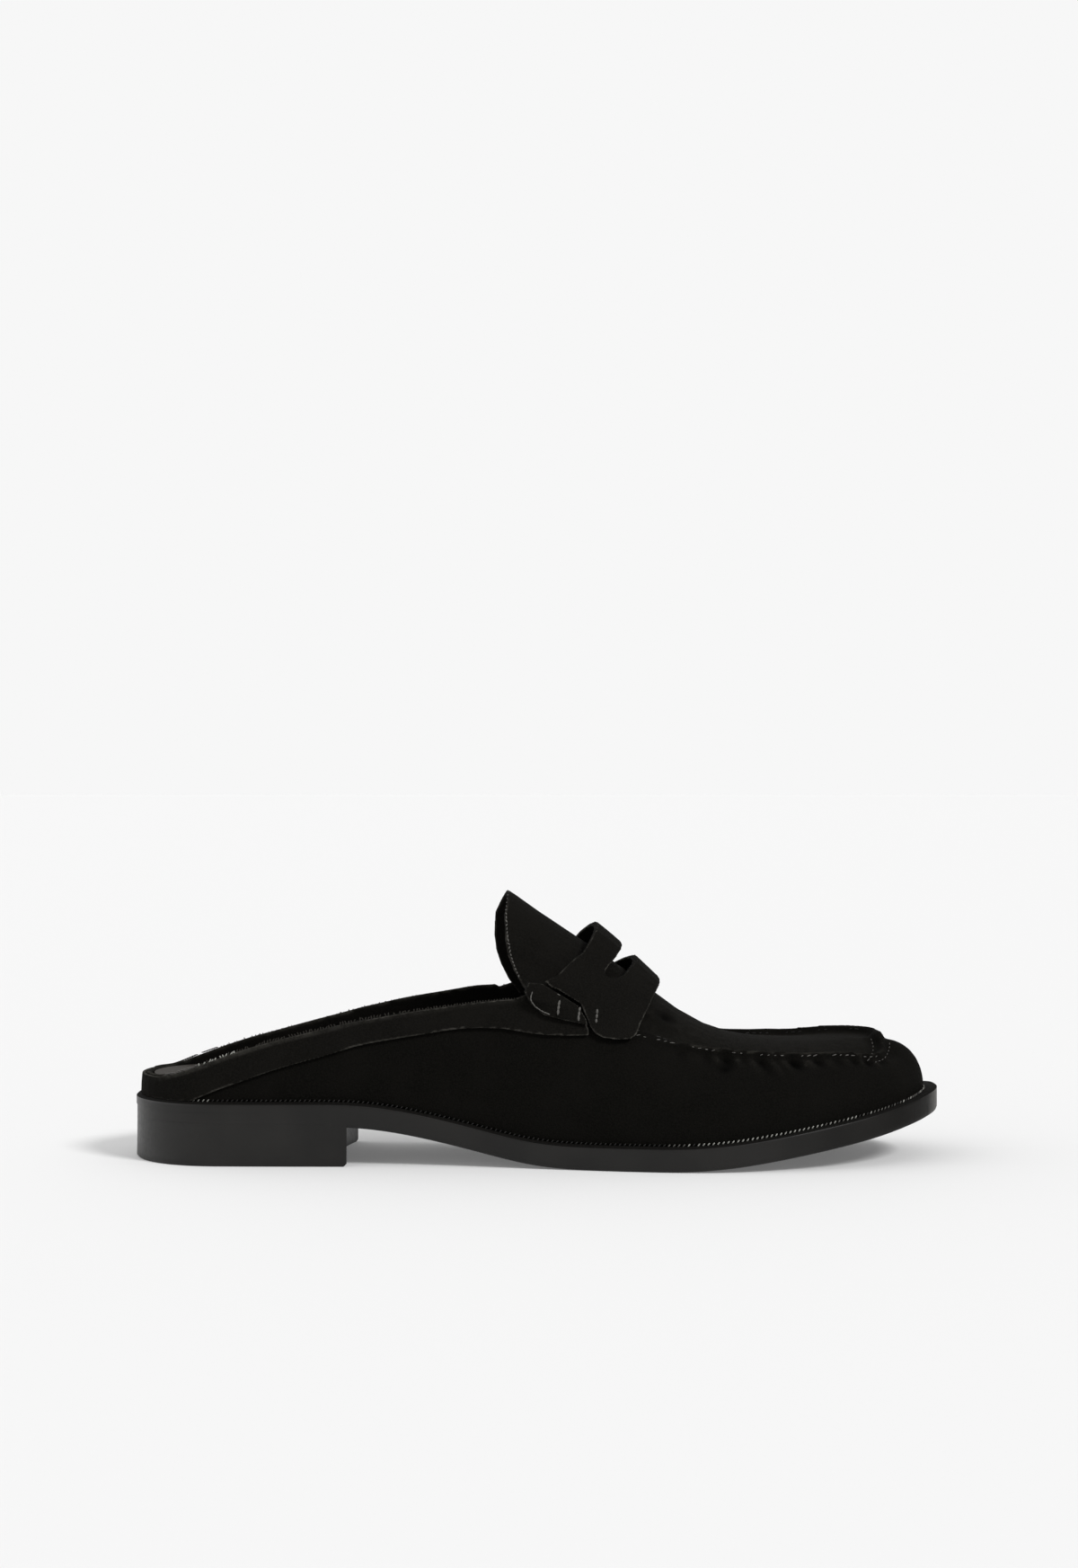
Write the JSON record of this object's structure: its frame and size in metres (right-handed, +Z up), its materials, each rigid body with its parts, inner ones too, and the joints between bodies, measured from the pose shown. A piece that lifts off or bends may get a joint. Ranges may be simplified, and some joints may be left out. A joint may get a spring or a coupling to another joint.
{
  "type": "mule",
  "caption": "Flat backless mule in suede with a raised apron seam, a slotted strap over the instep, a long tongue, a low collar and a stitched leather sole with a block heel.",
  "frame": {"origin": "centre of the shoe's length and width, on the floor", "axes": "+X runs from the heel to the toe, +Y to the inner side of the foot (the wearer's left), +Z up"},
  "size_m": [0.2716, 0.091, 0.0892],
  "materials": {
    "suede": "black suede",
    "sole_leather": "dark stained leather, smooth, semi-matt",
    "lining": "smooth grey-brown leather"
  },
  "bodies": {
    "root": {"outsole": "sole_leather", "welt": "sole_leather", "heel": "sole_leather", "footbed": "lining", "upper": "suede", "collar_band": "suede", "tongue": "suede", "strap": "suede", "roll_outer": "suede", "roll_inner": "suede"}
  },
  "joints": []
}
